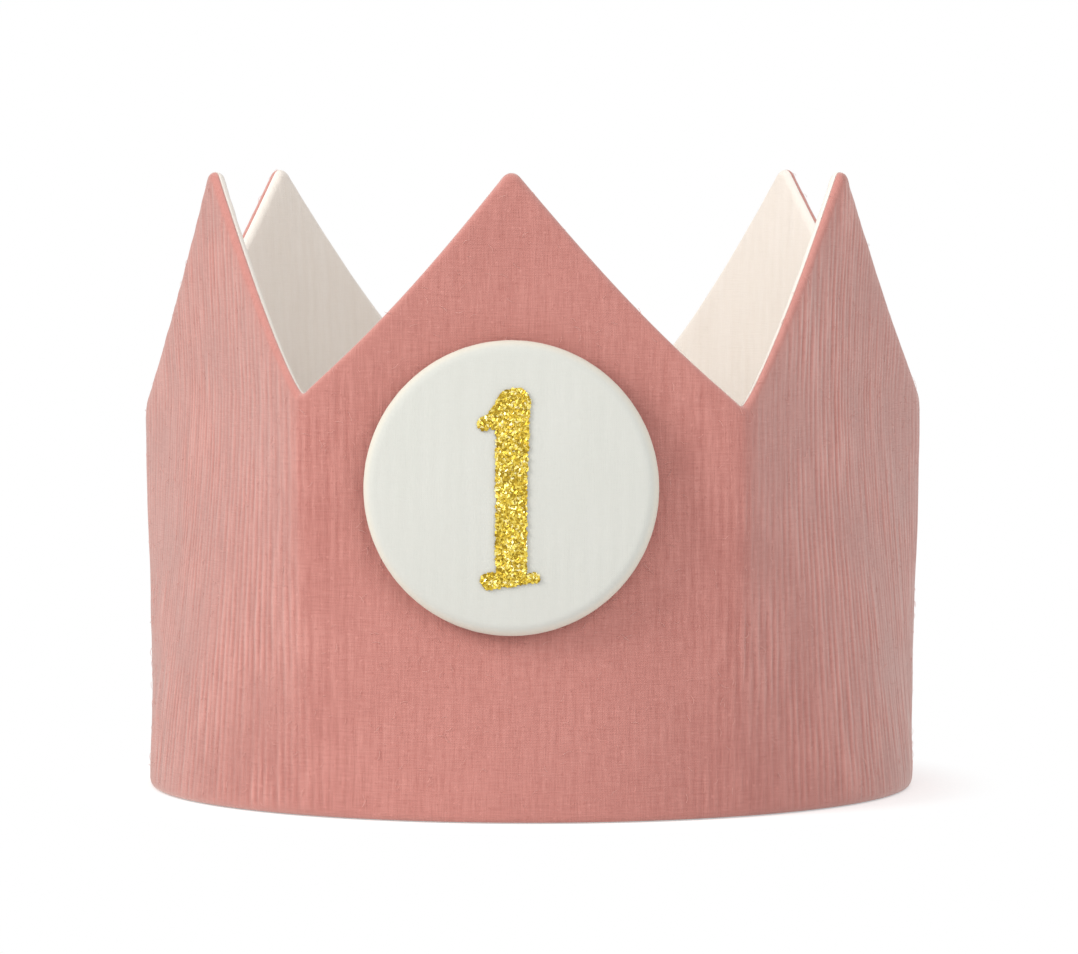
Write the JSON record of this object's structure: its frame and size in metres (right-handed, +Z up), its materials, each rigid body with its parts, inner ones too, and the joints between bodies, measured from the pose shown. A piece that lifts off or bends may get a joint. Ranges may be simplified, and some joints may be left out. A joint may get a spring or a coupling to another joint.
{
  "type": "fabric birthday crown",
  "caption": "Sewn fabric party crown with tall triangular points, an off-white lining, an elastic back and a round badge with a gold numeral.",
  "frame": {"origin": "middle of the head opening, level with the bottom rim that the crown stands on", "axes": "+Z up through the head opening; -Y is the front, where the badge sits; +X is to the right of someone who looks at the front"},
  "size_m": [0.1632, 0.1619, 0.1283],
  "materials": {
    "pink_gauze": "crinkled double gauze",
    "lining_cotton": "plain woven cotton",
    "interlining": "needled felt",
    "elastic": "ribbed woven elastic",
    "badge_cotton": "fine woven cotton",
    "tinplate": "bare tinplate",
    "back_plastic": "moulded plastic",
    "hook_tape": "moulded hooks",
    "loop_tape": "brushed loops",
    "gold_glitter": "glitter vinyl"
  },
  "bodies": {
    "root": {"outer_cover": "pink_gauze", "inner_lining": "lining_cotton", "stiffener": "interlining", "back_elastic": "elastic", "crown_loop_patch": "loop_tape", "badge_hook_patch": "hook_tape", "badge_back_plate": "back_plastic", "badge_shell": "tinplate", "badge_cover": "badge_cotton", "numeral_one": "gold_glitter"}
  },
  "joints": []
}
